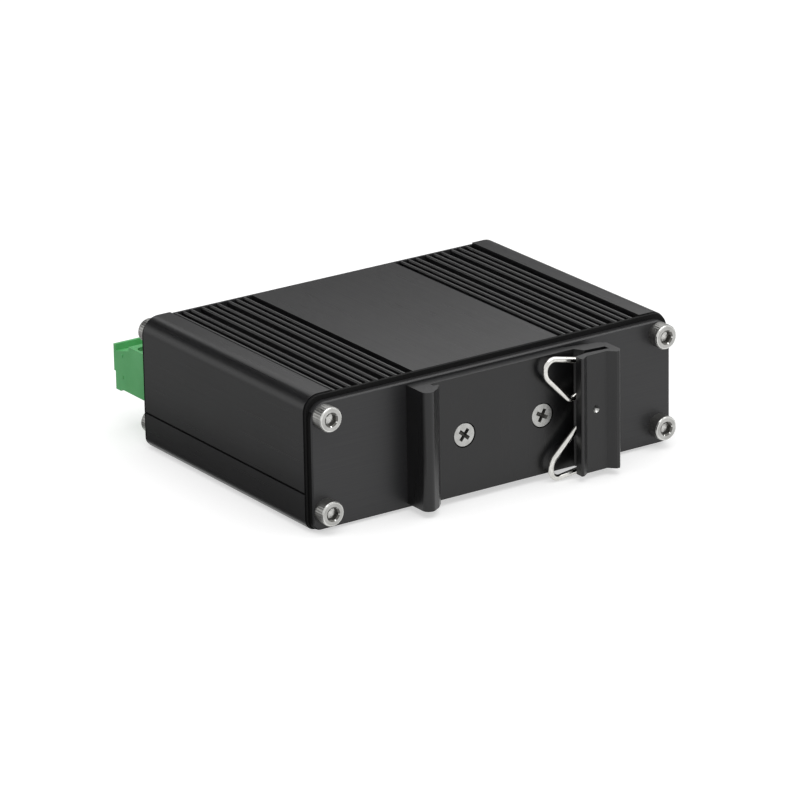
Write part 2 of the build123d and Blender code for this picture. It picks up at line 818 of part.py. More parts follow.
def plug_section():
    """The plug's outline in Y and Z, outside the header."""
    z = board_top
    start = header_front + plug_rest_gap
    ridge_back = plug_front - plug_ridge_thickness
    slope_end = plug_front - plug_slope_depth
    return outline([(start, z), (plug_low_front - plug_foot_depth - 0.3, z),
                    (plug_low_front - plug_foot_depth, z - plug_foot_drop),
                    (plug_low_front, z - plug_foot_drop),
                    (plug_low_front, z + plug_step_height), (plug_front, z + plug_step_height),
                    (plug_front, z + plug_ridge_height), (ridge_back, z + plug_ridge_height),
                    (ridge_back - 0.15, z + plug_channel_height), (ridge_back - 0.6, z + plug_channel_height),
                    (ridge_back - 0.7, z + plug_slope_low), (slope_end, z + plug_slope_high),
                    (slope_end, z + plug_top_height), (start, z + plug_top_height)])


def plug_housing():
    left = terminal_left
    right = terminal_right
    body = along_x(plug_section(), left, right)
    for height in pip_heights:
        pip = Pos(plug_front - pip_depth, board_top + height) * Circle(pip_radius)
        body += along_x(pip, left - pip_height, right + pip_height)
    inset = header_wall + plug_slide_clearance
    tongue_start = plug_tongue_start()
    body += block(left + inset, right - inset, tongue_start, header_front + plug_rest_gap + 0.5,
                  board_top + inset, board_top + header_height - inset)
    z = board_top
    cell_half = clamp_cell_width / 2
    cell_front = clamp_y + clamp_cell_depth / 2
    cell_back = clamp_y - clamp_cell_depth / 2
    for x in pole_centres:
        body -= block(x - cell_half, x + cell_half, cell_back, cell_front, z + clamp_floor, z + clamp_ceiling)
        well_low = z + clamp_ceiling + clamp_ceiling_wall
        well = Cylinder(clamp_well_radius, plug_top_height, align=(Align.CENTER, Align.CENTER, Align.MIN))
        body -= Pos(x, clamp_y, well_low) * well
        body -= Pos(x, clamp_y, z + clamp_ceiling) * Cylinder(clamp_thread_radius + 0.1, 6)
        way_half = wire_way_width / 2
        way_low = z + clamp_floor + 0.2
        way_high = way_low + wire_way_height
        body -= block(x - way_half, x + way_half, cell_front - 1, plug_front + 1, way_low, way_high)
        tunnel = sleeve_outer / 2 + 0.1
        middle = z + pin_height
        tunnel_start = tongue_start + 0.8
        body -= block(x - tunnel, x + tunnel, tunnel_start, cell_back + 1, middle - tunnel, middle + tunnel)
        hole = pin_size / 2 + 0.12
        body -= block(x - hole, x + hole, tongue_start - 1, tongue_start + 2, middle - hole, middle + hole)
    return body


def plug_contacts():
    """Each contact is a square sleeve on the pin with a flat strip that the clamp closes on."""
    z = board_top + pin_height
    start = plug_tongue_start() + 0.9
    end = header_front + 0.6
    strip_end = clamp_y + clamp_cell_depth / 2 - 0.3
    half = strip_width / 2
    contacts = []
    for x in pole_centres:
        outer = sleeve_outer / 2
        inner = sleeve_inner / 2
        sleeve = block(x - outer, x + outer, start, end, z - outer, z + outer)
        sleeve -= block(x - inner, x + inner, start - 1, end - 0.4, z - inner, z + inner)
        tail = block(x - half, x + half, end - 0.2, strip_end, z, z + strip_thickness)
        contacts.append(sleeve + tail)
    return Compound(contacts)


def clamp_screw(x):
    well_low = board_top + clamp_ceiling + clamp_ceiling_wall
    tip = board_top + pin_height + strip_thickness + 0.05
    head = Cylinder(clamp_head_radius, clamp_head_height, align=(Align.CENTER, Align.CENTER, Align.MIN))
    head = chamfer(head.edges().sort_by(Axis.Z)[-1], 0.2)
    slot = Pos(0, 0, clamp_head_height - 0.6) * Box(4, 0.5, 2, align=(Align.CENTER, Align.CENTER, Align.MIN))
    length = well_low + 0.05 - tip
    shank = Cylinder(clamp_thread_radius, length + 0.1, align=(Align.CENTER, Align.CENTER, Align.MAX))
    body = (head - slot) + Pos(0, 0, 0.1) * shank
    return Pos(x, clamp_y, well_low + 0.05) * body


def clamp_cage(x):
    low = board_top + clamp_cage_bottom
    window_low = low + clamp_cage_base
    window_high = window_low + clamp_cage_window
    high = window_high + clamp_cage_top
    half_x = clamp_cage_width / 2
    half_y = clamp_cage_depth / 2
    body = block(x - half_x, x + half_x, clamp_y - half_y, clamp_y + half_y, low, high)
    body -= block(x - half_x + clamp_cage_side, x + half_x - clamp_cage_side, clamp_y - 5, clamp_y + 5,
                  window_low, window_high)
    body -= Pos(x, clamp_y, high) * Cylinder(clamp_thread_radius + clamp_thread_clearance, 2.4)
    return body


def chip(x, y, size_x, size_y, height):
    body = Pos(x, y, board_top) * extrude(Rectangle(size_x, size_y), amount=height)
    return chamfer(body.faces().sort_by(Axis.Z)[-1].edges(), chip_edge)


def rounded_can(x, y, size_x, size_y, height, corner):
    body = Pos(x, y, board_top) * extrude(RectangleRounded(size_x, size_y, corner), amount=height)
    return chamfer(body.faces().sort_by(Axis.Z)[-1].edges(), can_edge)


def switch_chip():
    return chip(*switch_chip_box)


def network_transformer():
    return chip(*transformer_box)


def power_chip():
    return chip(power_side_x, *power_chip_box)


def power_inductor():
    return rounded_can(power_side_x, *inductor_box, inductor_corner)


def crystal():
    return rounded_can(*crystal_box, crystal_box[3] / 2 - 0.1)


def capacitors():
    """Two round electrolytic capacitors standing on the board."""
    can = Cylinder(capacitor_radius, capacitor_height, align=(Align.CENTER, Align.CENTER, Align.MIN))
    can = fillet(can.edges().sort_by(Axis.Z)[-1], capacitor_edge)
    return Compound([Pos(x, y, board_top) * can for x, y in capacitor_places])


def fuse():
    x, y = fuse_place
    return Pos(x, y, board_top + fuse_radius) * Rot(0, 90, 0) * Cylinder(fuse_radius, fuse_length)


builders = {
    "upper_shell": upper_shell,
    "lower_shell": lower_shell,
    "rear_panel": rear_panel,
    "front_panel": front_panel,
    "rear_gasket": rear_gasket,
    "front_gasket": front_gasket,
    "rear_panel_screws": rear_panel_screws,
    "front_panel_screws": front_panel_screws,
    "din_clip": din_clip,
    "clip_screws": clip_screws,
    "clip_nuts": clip_nuts,
    "wire_spring": wire_spring,
    "circuit_board": circuit_board,
    "light_pipes": light_pipes,
    "status_lamps": status_lamps,
    "rj45_shield": jack_shield,
    "rj45_housing": jack_housing,
    "rj45_contacts": jack_contact_wires,
    "sfp_cage": module_cage,
    "sfp_connector": module_connector,
    "terminal_header": terminal_header,
    "header_pins": header_pins,
    "plug_housing": plug_housing,
    "plug_contacts": plug_contacts,
    "switch_chip": switch_chip,
    "network_transformer": network_transformer,
    "power_inductor": power_inductor,
    "power_chip": power_chip,
    "crystal": crystal,
    "capacitors": capacitors,
    "fuse": fuse,
}

os.makedirs("parts", exist_ok=True)
to_middle = Pos(0, -object_middle, 0)
for name, build in builders.items():
    export_step(to_middle * build(), f"parts/{name}.step")
for number, x in enumerate(pole_centres, start=1):
    export_step(to_middle * clamp_screw(x), f"parts/clamp_screw_{number}.step")
    export_step(to_middle * clamp_cage(x), f"parts/clamp_cage_{number}.step")
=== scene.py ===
# Looks for a fibre media converter: a dark anodised housing with a rail clip, lying on a pale floor
import json
import math

import bmesh
import bpy
from mathutils import Matrix, Vector


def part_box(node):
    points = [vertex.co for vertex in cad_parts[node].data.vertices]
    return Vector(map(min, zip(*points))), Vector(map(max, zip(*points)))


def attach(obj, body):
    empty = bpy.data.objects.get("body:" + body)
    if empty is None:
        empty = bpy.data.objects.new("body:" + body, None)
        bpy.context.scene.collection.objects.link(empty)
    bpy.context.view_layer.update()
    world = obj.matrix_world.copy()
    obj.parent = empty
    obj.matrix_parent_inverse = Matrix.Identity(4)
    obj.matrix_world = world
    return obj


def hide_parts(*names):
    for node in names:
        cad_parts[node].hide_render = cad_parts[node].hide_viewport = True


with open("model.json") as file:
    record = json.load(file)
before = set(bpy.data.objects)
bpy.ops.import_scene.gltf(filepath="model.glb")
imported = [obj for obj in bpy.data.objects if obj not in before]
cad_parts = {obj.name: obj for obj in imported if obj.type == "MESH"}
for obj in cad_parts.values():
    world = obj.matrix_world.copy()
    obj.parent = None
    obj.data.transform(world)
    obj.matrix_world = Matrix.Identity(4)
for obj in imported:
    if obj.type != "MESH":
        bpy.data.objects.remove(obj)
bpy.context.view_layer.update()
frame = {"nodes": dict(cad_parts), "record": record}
bodyOf = {node: body for body, group in frame["record"]["behaviour"]["bodies"].items() for node in group}
slotOf = {part["node"]: part["material_slot"] for part in frame["record"]["subparts"]}
mm = 0.001
print("frame loaded:", len(bodyOf), "nodes")


def linear(hexText):
    # sRGB hex text to linear colour
    channels = [int(hexText[i:i + 2], 16) / 255 for i in (1, 3, 5)]
    return [c / 12.92 if c <= 0.04045 else ((c + 0.055) / 1.055) ** 2.4 for c in channels] + [1.0]


def add(tree, kind, options=None, inputs=None):
    # one node with its options, its input values and its links
    node = tree.nodes.new("ShaderNode" + kind)
    for key, value in (options or {}).items():
        setattr(node, key, value)
    for key, value in (inputs or {}).items():
        if isinstance(value, bpy.types.NodeSocket):
            tree.links.new(value, node.inputs[key])
        else:
            node.inputs[key].default_value = value
    return node


def startMaterial(name, **values):
    # a Principled material with uniform values set on the shader itself
    material = bpy.data.materials.new(name)
    material.use_nodes = True
    shader = material.node_tree.nodes["Principled BSDF"]
    for key, value in values.items():
        shader.inputs[key.replace("_", " ")].default_value = value
    return material, material.node_tree, shader


def feed(tree, shader, **patterns):
    # links patterns to the shader's sockets
    for key, pattern in patterns.items():
        tree.links.new(pattern, shader.inputs[key.replace("_", " ")])


def stretchedNoise(tree, size, stretch=(1, 1, 1), detail=3.0):
    # noise in the piece's own coordinates: size is the grain in millimetres, stretch draws it out on an axis
    spot = add(tree, "TexCoord").outputs["Object"]
    scale = [1 / (size * mm * s) for s in stretch]
    scaled = add(tree, "VectorMath", {"operation": "MULTIPLY"}, {0: spot, 1: scale}).outputs[0]
    return add(tree, "TexNoise", None, {"Vector": scaled, "Scale": 1.0, "Detail": detail}).outputs["Fac"]


def remap(tree, value, low, high, fromLow=0.3, fromHigh=0.7):
    inputs = {"Value": value, "From Min": fromLow, "From Max": fromHigh, "To Min": low, "To Max": high}
    return add(tree, "MapRange", None, inputs).outputs[0]


def mixColour(tree, factor, first, second):
    inputs = {0: factor, 6: first, 7: second}
    return add(tree, "Mix", {"data_type": "RGBA"}, inputs).outputs[2]


def mixValue(tree, factor, first, second):
    return add(tree, "Mix", None, {0: factor, 2: first, 3: second}).outputs[0]


def bump(tree, height, depth, normal=None):
    # depth is the real height of the pattern in millimetres
    inputs = {"Strength": 1.0, "Distance": depth * mm, "Height": height}
    if normal is not None:
        inputs["Normal"] = normal
    return add(tree, "Bump", None, inputs).outputs[0]


def marked(tree, name):
    # a mark that the mesh carries on its faces, from 0 to 1
    return add(tree, "Attribute", {"attribute_name": name}).outputs["Fac"]


# Black anodised aluminium extrusion: a dyed oxide layer over fine die lines, so a satin near-black with
# faint long streaks in its gloss. The real lines are 0.1 mm apart; here they are drawn a little wider.
# The fins' crests carry a painted highlight, a raised specular level. The punched dimple shows a painted
# highlight in bright bare-metal colour on its up-facing side only.
anodised = {"dark": "#111112", "light": "#171718", "roughness": (0.27, 0.34), "specular": 0.45,
            "line": 0.3, "stretch": 90, "lineDepth": 0.0005, "grit": 0.16, "gritDepth": 0.0018,
            "cloud": 14.0, "crestHighlight": 1.0, "paintedGlint": "#a2a2a0", "paintedGlintRoughness": 0.25}


def anodisedExtrusion(name, along, mark):
    material, tree, shader = startMaterial(name, Specular_IOR_Level=anodised["specular"])
    stretch = [anodised["stretch"] if axis == along else 1 for axis in "xyz"]
    lines = stretchedNoise(tree, anodised["line"], stretch)
    grit = stretchedNoise(tree, anodised["grit"])
    cloud = stretchedNoise(tree, anodised["cloud"], detail=2.0)
    colour = mixColour(tree, remap(tree, cloud, 0, 1), linear(anodised["dark"]), linear(anodised["light"]))
    gloss = remap(tree, lines, *anodised["roughness"])
    # painted highlight: the crests' specular level is raised above the rest of the shell
    if mark == "crestHighlight":
        shine = mixValue(tree, marked(tree, mark), anodised["specular"], anodised["crestHighlight"])
        feed(tree, shader, Specular_IOR_Level=shine)
    # painted highlight: the dimple's up-facing faces take a bright metal colour and full metallic
    if mark == "dimpleHighlight":
        paintedGlint = marked(tree, mark)
        colour = mixColour(tree, paintedGlint, colour, linear(anodised["paintedGlint"]))
        gloss = mixValue(tree, paintedGlint, gloss, anodised["paintedGlintRoughness"])
        feed(tree, shader, Metallic=paintedGlint)
    normal = bump(tree, lines, anodised["lineDepth"])
    normal = bump(tree, grit, anodised["gritDepth"], normal)
    feed(tree, shader, Base_Color=colour, Roughness=gloss, Normal=normal)
    return material


# Black anodised aluminium sheet, brushed before it was dyed: fine level lines on its face. Its edge faces
# carry painted shade, near black and dull, most on the sides and underside and less on the top.
brushed = {"dark": "#1f1f21", "light": "#282829", "roughness": (0.35, 0.43), "specular": 0.48,
           "line": 0.26, "stretch": 90, "lineDepth": 0.0008, "grit": 0.2, "gritDepth": 0.0015,
           "edge": "#070707", "edgeRoughness": 0.7, "edgeSpecular": 0.12}


def anodisedBrushedSheet(name):
    material, tree, shader = startMaterial(name, Specular_IOR_Level=brushed["specular"])
    lines = stretchedNoise(tree, brushed["line"], (brushed["stretch"], 1, 1))
    grit = stretchedNoise(tree, brushed["grit"])
    # painted shade: the edge faces are darkened to near black, graded by the way they face
    face = remap(tree, marked(tree, "paintedEdgeShade"), 1, 0, fromLow=0, fromHigh=1)
    colour = mixColour(tree, remap(tree, lines, 0, 1), linear(brushed["dark"]), linear(brushed["light"]))
    colour = mixColour(tree, face, linear(brushed["edge"]), colour)
    gloss = mixValue(tree, face, brushed["edgeRoughness"], remap(tree, lines, *brushed["roughness"]))
    shine = mixValue(tree, face, brushed["edgeSpecular"], brushed["specular"])
    normal = bump(tree, lines, brushed["lineDepth"])
    normal = bump(tree, grit, brushed["gritDepth"], normal)
    feed(tree, shader, Base_Color=colour, Roughness=gloss, Specular_IOR_Level=shine, Normal=normal)
    return material


# Stainless steel, cold headed and tumbled: bright, with a slight drift in tone. Painted shade makes it greyer
# and duller in zones: fully on the socket's walls, partly on the side, shank and face, and a little in the
# cone at the socket's bottom.
tumbled = {"low": "#c2c2bf", "high": "#dadad7", "roughness": (0.18, 0.3), "shaded": "#63625f",
           "shadedRoughness": 0.4, "grain": 0.22, "depth": 0.002, "cloud": 1.5}
# Nickel plate over steel: a little warmer and softer, and dark in the cross recess, where painted shade lies.
plated = {"low": "#a9a9a6", "high": "#bcbcba", "roughness": (0.24, 0.36), "shaded": "#605f5c",
          "shadedRoughness": 0.6, "grain": 0.25, "depth": 0.002, "cloud": 1.5}


def screwMetal(name, look):
    material, tree, shader = startMaterial(name, Metallic=1.0)
    grit = stretchedNoise(tree, look["grain"])
    drift = stretchedNoise(tree, look["cloud"], detail=2.0)
    # painted shade: the marked zones are darkened and dulled
    shaded = marked(tree, "paintedShade")
    colour = mixColour(tree, remap(tree, drift, 0, 1), linear(look["low"]), linear(look["high"]))
    colour = mixColour(tree, shaded, colour, linear(look["shaded"]))
    gloss = mixValue(tree, shaded, remap(tree, grit, *look["roughness"]), look["shadedRoughness"])
    feed(tree, shader, Base_Color=colour, Roughness=gloss, Normal=bump(tree, grit, look["depth"]))
    return material


def grained(name, dark, light, roughness, grain, depth, cloud=6.0, **values):
    # a moulded, pressed or plated grain and a slight drift in colour. Grain, depth and cloud in millimetres.
    material, tree, shader = startMaterial(name, **values)
    grit = stretchedNoise(tree, grain)
    drift = stretchedNoise(tree, cloud, detail=2.0)
    colour = mixColour(tree, remap(tree, drift, 0, 1), linear(dark), linear(light))
    gloss = remap(tree, grit, *roughness)
    feed(tree, shader, Base_Color=colour, Roughness=gloss, Normal=bump(tree, grit, depth))
    return material


def drawn(name, dark, light, roughness, line, stretch, depth):
    # a metal with drawing or rolling lines along one axis. Line and depth in millimetres.
    material, tree, shader = startMaterial(name, Metallic=1.0)
    lines = stretchedNoise(tree, line, stretch)
    colour = mixColour(tree, remap(tree, lines, 0, 1), linear(dark), linear(light))
    gloss = remap(tree, lines, *roughness)
    feed(tree, shader, Base_Color=colour, Roughness=gloss, Normal=bump(tree, lines, depth))
    return material


materialFor = {
    "shell_anodised": anodisedExtrusion("blackAnodisedExtrusionAlongY", "y", "crestHighlight"),
    "clip_anodised": anodisedExtrusion("blackAnodisedExtrusionAlongZ", "z", "dimpleHighlight"),
    "panel_anodised": anodisedBrushedSheet("blackAnodisedBrushedSheet"),
    # EPDM rubber, die cut: dull, with a fine dusty grain
    "gasket_rubber": grained("dieCutRubber", "#070707", "#0c0c0c", (0.7, 0.85), grain=0.25, depth=0.006,
                             Specular_IOR_Level=0.2),
    "screw_steel": screwMetal("tumbledStainlessSteel", tumbled),
    "screw_nickel": screwMetal("nickelPlatedSteel", plated),
    # spring steel wire, drawn: a smooth bright skin with fine marks along it
    "spring_steel": drawn("drawnSpringWire", "#c6c5c1", "#e2e1dd", (0.08, 0.18), line=0.18,
                          stretch=(4, 1, 4), depth=0.001),
    # tinned steel sheet, rolled and stamped: satin, with rolling lines along its length
    "shield_tin": drawn("rolledTinnedSheet", "#b4b4b0", "#cfcfcb", (0.24, 0.4), line=0.2,
                        stretch=(1, 30, 1), depth=0.001),
    # glass-filled polyamide, moulded: satin green with a fine even grain
    "terminal_green": grained("mouldedGreenPolyamide", "#56ad67", "#62b873", (0.36, 0.5), grain=0.3,
                              depth=0.004, Subsurface_Weight=0.05, Subsurface_Scale=0.001),
    # PBT, moulded: dull black with a fine grain
    "jack_black": grained("mouldedBlackPolyester", "#101010", "#171717", (0.45, 0.6), grain=0.3,
                          depth=0.004),
    # gold flash on phosphor bronze: smooth and warm
    "contact_gold": grained("goldFlashedBronze", "#d9a441", "#ecc063", (0.18, 0.3), grain=0.2,
                            depth=0.001, cloud=1.0, Metallic=1.0),
    # tin on brass: pale and a little cloudy
    "contact_tin": grained("tinPlatedBrass", "#bdb9b0", "#d3cfc6", (0.3, 0.45), grain=0.25,
                           depth=0.0015, cloud=1.0, Metallic=1.0),
    # polycarbonate, moulded clear: water white with a trace of flow in its gloss
    "light_guide": grained("clearPolycarbonate", "#f2f6f6", "#ffffff", (0.04, 0.1), grain=0.8,
                           depth=0.001, Transmission_Weight=1.0, IOR=1.58),
    # silicone lens: pale and soft
    "lamp_white": grained("paleSiliconeLens", "#f0eedb", "#f7f5e6", (0.3, 0.4), grain=0.3, depth=0.002),
    # solder resist on glass laminate: green, glossy, with the weave just showing
    "board_laminate": grained("solderResistOnLaminate", "#14532a", "#1c6233", (0.22, 0.36), grain=0.45,
                              depth=0.006),
    # epoxy moulding compound: grey-black and matte
    "chip_black": grained("mouldedEpoxy", "#1a1a1b", "#222223", (0.55, 0.7), grain=0.2, depth=0.005),
    # ferrite powder, pressed: dull dark grey
    "ferrite_grey": grained("pressedFerrite", "#39393a", "#454546", (0.65, 0.8), grain=0.3, depth=0.008),
    # aluminium can, impact extruded: pale satin
    "can_aluminium": drawn("impactExtrudedCan", "#b9b9b8", "#cdcdcc", (0.3, 0.42), line=0.25,
                           stretch=(1, 1, 25), depth=0.001),
    # ceramic tube, glazed: cream, glossy, with a slow drift in its glaze
    "fuse_body": grained("glazedCeramic", "#d6cfba", "#e2dcc9", (0.2, 0.32), grain=0.6, depth=0.002),
}
for node, piece in frame["nodes"].items():
    piece.data.materials.clear()
    piece.data.materials.append(materialFor[slotOf[node]])
print("materials made:", len(materialFor))


def asData(name, mesh):
    # a bmesh turned into mesh data, and freed
    data = bpy.data.meshes.new(name)
    mesh.to_mesh(data)
    mesh.free()
    return data


def putInScene(name, data):
    item = bpy.data.objects.new(name, data)
    bpy.context.scene.collection.objects.link(item)
    return item


def addPiece(mesh, name, node):
    # turns a bmesh into a piece that stands for a CAD node and rides on that node's body
    bmesh.ops.recalc_face_normals(mesh, faces=mesh.faces)
    piece = putInScene(name, asData(name, mesh))
    piece.data.materials.append(materialFor[slotOf[node]])
    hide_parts(node)
    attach(piece, bodyOf[node])
    return piece


def smoothShade(mesh, under):
    # faces smooth, and edges sharp from this many degrees up
    for face in mesh.faces:
        face.smooth = True
    for edge in mesh.edges:
        edge.smooth = len(edge.link_faces) == 2 and edge.calc_face_angle() < math.radians(under)


# Edges as they are on the real pieces: each has a small radius, in millimetres, that catches the light
edgeRadius = {"upper_shell": 0.06, "lower_shell": 0.04, "rear_panel": 0.06, "front_panel": 0.06,
              "rear_gasket": 0.08, "front_gasket": 0.08, "din_clip": 0.22,
              "terminal_header": 0.12, "plug_housing": 0.13, "rj45_shield": 0.06, "rj45_housing": 0.1,
              "sfp_cage": 0.06, "rj45_contacts": 0.04, "light_pipes": 0.1, "clamp_screw_1": 0.06,
              "clamp_screw_2": 0.06, "clamp_screw_3": 0.06, "clamp_screw_4": 0.06}
# How an edge is found and rounded: angles in degrees, and the distance that merges points in millimetres
edgeFinish = {"mergeWithin": 0.001, "flatWithin": 0.5, "sharpFrom": 32, "smoothUnder": 40, "segments": 2}
# The clip's short edges, round its holes and its dimple, stay as they are: they are punched and drilled
shortest = {"din_clip": 0.6}
# The joint between the two shells, a dark line along each side, in millimetres: its height, the foot of its
# chamfer in the CAD, how deep the groove goes here, and how near a point has to lie to be at that foot
joint = {"up": 8.3, "foot": 46.77, "side": 47.0, "depth": 0.7, "nearFoot": 0.05, "nearUp": 0.01}
# How much painted shade a panel's edge faces get, by the way they face: sides and underside most, then the
# top less.
# The chamfer between them and the face stays brushed.
edgeShadeShare = {"side": 1.4, "sideFrom": 0.85, "under": 1.4, "top": 0.35, "upFrom": 0.3}
# The crests of the fins, between the centre plate and the outer band, from this height up, in millimetres
crest = {"low": 18.9, "high": 39.9, "up": 28.9}
# The dimple that a centre punch left on the clip's catch, in millimetres. Only its lower side, whose faces
# look up, takes a painted highlight in bright bare-metal colour.
dimple = {"across": 20.95, "front": -44.63, "up": 15.55, "radius": 0.85, "point": 0.2, "depth": 0.75,
          "proud": 0.05, "skin": 0.01, "within": 1.0, "sides": 32, "glintFrom": 0.2}


def edgeShadeOf(face):
    side, up = abs(face.normal.x), face.normal.z
    share = side * edgeShadeShare["side"] if side > edgeShadeShare["sideFrom"] else 0
    if abs(up) > edgeShadeShare["upFrom"]:
        share += max(up, 0) * edgeShadeShare["top"] + max(-up, 0) * edgeShadeShare["under"]
    return min(share, 1)


def onCrest(face):
    middle = face.calc_center_median() / mm
    return crest["low"] < abs(middle.x) < crest["high"] and middle.z > crest["up"]


def inDimple(face):
    middle = face.calc_center_median() / mm
    aside = math.hypot(middle.x - dimple["across"], middle.z - dimple["up"])
    behind = middle.y - dimple["front"]
    return aside < dimple["radius"] and dimple["skin"] < behind < dimple["within"]


def isPaintedGlint(face):
    return inDimple(face) and face.normal.z > dimple["glintFrom"]


# The mark that some pieces carry for their material, and what gives its amount on a face
markOn = {"upper_shell": ("crestHighlight", onCrest), "din_clip": ("dimpleHighlight", isPaintedGlint),
          "rear_panel": ("paintedEdgeShade", edgeShadeOf), "front_panel": ("paintedEdgeShade", edgeShadeOf)}


def punched(mesh):
    # opens the dimple, which the CAD leaves under a thin skin
    bmesh.ops.delete(mesh, geom=[face for face in mesh.faces if inDimple(face)], context="FACES")
    punch = bmesh.new()
    slope = (dimple["radius"] - dimple["point"]) / dimple["depth"]
    proud = dimple["proud"]
    height = dimple["depth"] + proud
    bmesh.ops.create_cone(punch, cap_ends=True, segments=dimple["sides"],
                          radius1=dimple["radius"] + slope * proud, radius2=dimple["point"], depth=height)
    middle = Vector((dimple["across"], dimple["front"] - proud + height / 2, dimple["up"])) * mm
    turned = Matrix.Translation(middle) @ Matrix.Rotation(-math.pi / 2, 4, "X") @ Matrix.Scale(mm, 4)
    bmesh.ops.transform(punch, matrix=turned, verts=punch.verts)
    body = putInScene("clipBody", asData("clipBody", mesh))
    cutter = putInScene("punch", asData("punch", punch))
    cut = body.modifiers.new("punch", "BOOLEAN")
    cut.operation = "DIFFERENCE"
    cut.object = cutter
    graph = bpy.context.evaluated_depsgraph_get()
    result = bmesh.new()
    result.from_mesh(body.evaluated_get(graph).data)
    for item in (body, cutter):
        data = item.data
        bpy.data.objects.remove(item)
        bpy.data.meshes.remove(data)
    return result


def deepenJoint(mesh):
    # moves the foot of the chamfer at the joint inwards, so that the groove is deep enough to stay dark
    for vert in mesh.verts:
        across, up = abs(vert.co.x) / mm, vert.co.z / mm
        if abs(across - joint["foot"]) < joint["nearFoot"] and abs(up - joint["up"]) < joint["nearUp"]:
            vert.co.x = math.copysign((joint["side"] - joint["depth"]) * mm, vert.co.x)


def softenEdges(node, radius):
    # a copy of a CAD node with its sharp edges rounded
    mesh = bmesh.new()
    mesh.from_mesh(frame["nodes"][node].data)
    bmesh.ops.remove_doubles(mesh, verts=mesh.verts, dist=edgeFinish["mergeWithin"] * mm)
    bmesh.ops.dissolve_limit(mesh, angle_limit=math.radians(edgeFinish["flatWithin"]), verts=mesh.verts,
                             edges=mesh.edges)
    if node == "din_clip":
        mesh = punched(mesh)
    if slotOf[node] == "shell_anodised":
        deepenJoint(mesh)
    sharp = [edge for edge in mesh.edges if len(edge.link_faces) == 2
             and edge.calc_face_angle() > math.radians(edgeFinish["sharpFrom"])
             and edge.calc_length() > shortest.get(node, 0) * mm]
    bmesh.ops.bevel(mesh, geom=sharp, offset=radius * mm, offset_type="OFFSET",
                    segments=edgeFinish["segments"], profile=0.5, affect="EDGES", clamp_overlap=True,
                    material=-1)
    if node in markOn:
        name, amountOn = markOn[node]
        mark = mesh.faces.layers.float.new(name)
        for face in mesh.faces:
            face[mark] = amountOn(face)
    smoothShade(mesh, edgeFinish["smoothUnder"])
    piece = addPiece(mesh, node + "_finished", node)
    weighted = piece.modifiers.new("weightedNormals", "WEIGHTED_NORMAL")
    weighted.keep_sharp = True
    weighted.mode = "FACE_AREA"


for node, radius in edgeRadius.items():
    softenEdges(node, radius)
print("edges softened:", len(edgeRadius))


def ringOn(mesh, edges, radiusAt, height):
    # carries an open ring of edges on to a new height, at one radius or at one that changes round the ring
    made = bmesh.ops.extrude_edge_only(mesh, edges=edges)["geom"]
    verts = [item for item in made if isinstance(item, bmesh.types.BMVert)]
    for vert in verts:
        angle = math.atan2(vert.co.y, vert.co.x)
        radius = radiusAt(angle) if callable(radiusAt) else radiusAt
        vert.co = Vector((radius * math.cos(angle), radius * math.sin(angle), height))
    return [item for item in made if isinstance(item, bmesh.types.BMEdge) and item.verts[0] in verts
            and item.verts[1] in verts]


def turnOn(mesh, ring, profile):
    # carries a ring along a profile of radius and height, and closes its last ring
    for radiusAt, height in profile:
        ring = ringOn(mesh, ring, radiusAt, height)
    bmesh.ops.contextual_create(mesh, geom=ring)


def threadFrom(spec, start):
    # the profile of a screw's thread from this depth to its tip
    pitch = spec["pitch"]
    profile = []
    for turn in range(int((spec["length"] - start) / pitch) - 1):
        profile.append((spec["root"], -start - (turn + 0.5) * pitch))
        profile.append((spec["shank"], -start - (turn + 1) * pitch))
    return profile + [(spec["root"] - spec["tip"], -spec["length"])]


def joinInto(group, one, place):
    # adds one screw to its group, turned and moved to its place
    bmesh.ops.transform(one, matrix=place @ Matrix.Scale(mm, 4), verts=one.verts)
    part = asData("screwPart", one)
    group.from_mesh(part)
    bpy.data.meshes.remove(part)


screwFinish = {"steps": 72, "smoothUnder": 28}  # points round a screw, and degrees up to which it is smooth

# Socket head screw, M3: a knurled head with a hexagon socket, and a threaded shank. Millimetres; the turns,
# which differ from screw to screw, are in radians.
socketScrew = {"headRadius": 2.75, "headHeight": 3.0, "toothDepth": 0.05, "bevel": 0.32,
               "bevelMiddle": (0.4, 0.25), "flats": 2.5, "socketMouth": 0.2, "mouthSlope": 1.2,
               "socketDepth": 1.5, "drillShare": 0.46, "drillDepth": 0.5, "drillPoint": 0.02, "step": 0.02,
               "shank": 1.5, "root": 1.22, "pitch": 0.5, "tip": 0.1, "length": 10.0, "firstTurn": 0.35,
               "nextTurn": 0.7}
# How much painted shade each zone gets, from the outside in: side, face, the socket's walls, and the cone at
# its bottom. Then the bands that part them, in millimetres, and the share of the flats within which the walls
# lie.
shadeByZone = {"side": 0.5, "face": 0.4, "walls": 1.0, "cone": 0.1, "sideBand": 0.12, "faceBand": 0.01,
            "mouthBand": 0.1, "wallsWithin": 0.6}


def hexagon(flats):
    def radiusAt(angle):
        turn = math.pi / 3
        return flats / 2 / math.cos((angle + turn / 2) % turn - turn / 2)
    return radiusAt


def shadeAt(spec, spot):
    top = spec["headHeight"]
    reach = math.hypot(spot.x, spot.y)
    if reach > spec["headRadius"] - shadeByZone["sideBand"] or spot.z < 0:
        return shadeByZone["side"]
    if spot.z < top - spec["socketDepth"]:
        return shadeByZone["cone"]
    if spot.z < top - shadeByZone["mouthBand"] and reach < spec["flats"] * shadeByZone["wallsWithin"]:
        return shadeByZone["walls"]
    return shadeByZone["face"] if spot.z > top - shadeByZone["faceBand"] else 0


